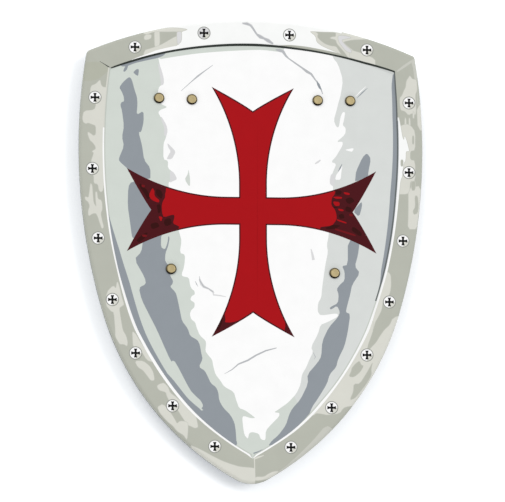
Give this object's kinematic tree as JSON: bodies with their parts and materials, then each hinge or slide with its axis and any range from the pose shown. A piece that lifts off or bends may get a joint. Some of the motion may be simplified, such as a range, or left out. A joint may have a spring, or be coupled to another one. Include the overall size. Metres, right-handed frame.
{
  "type": "toy knight shield",
  "caption": "Soft foam toy shield of heater shape with a raised printed rim, a red flared cross and two elastic arm straps riveted on behind.",
  "frame": {"origin": "on the surface it lies on, under the middle of the board's width and height", "axes": "+Z out of the printed face, +Y towards the arched top edge, +X to the right as the face is looked at"},
  "size_m": [0.32, 0.43, 0.0302],
  "materials": {
    "printed_foam": "closed-cell foam board with a printed satin skin, white, grey and red",
    "elastic_webbing": "woven black elastic band",
    "brass": "pressed brass, slightly dull"
  },
  "bodies": {
    "root": {"shield_board": "printed_foam", "strap_left": "elastic_webbing", "strap_right": "elastic_webbing", "rivet_left_lower": "brass", "rivet_left_upper_left": "brass", "rivet_left_upper_right": "brass", "rivet_right_lower": "brass", "rivet_right_upper_left": "brass", "rivet_right_upper_right": "brass"}
  },
  "joints": []
}
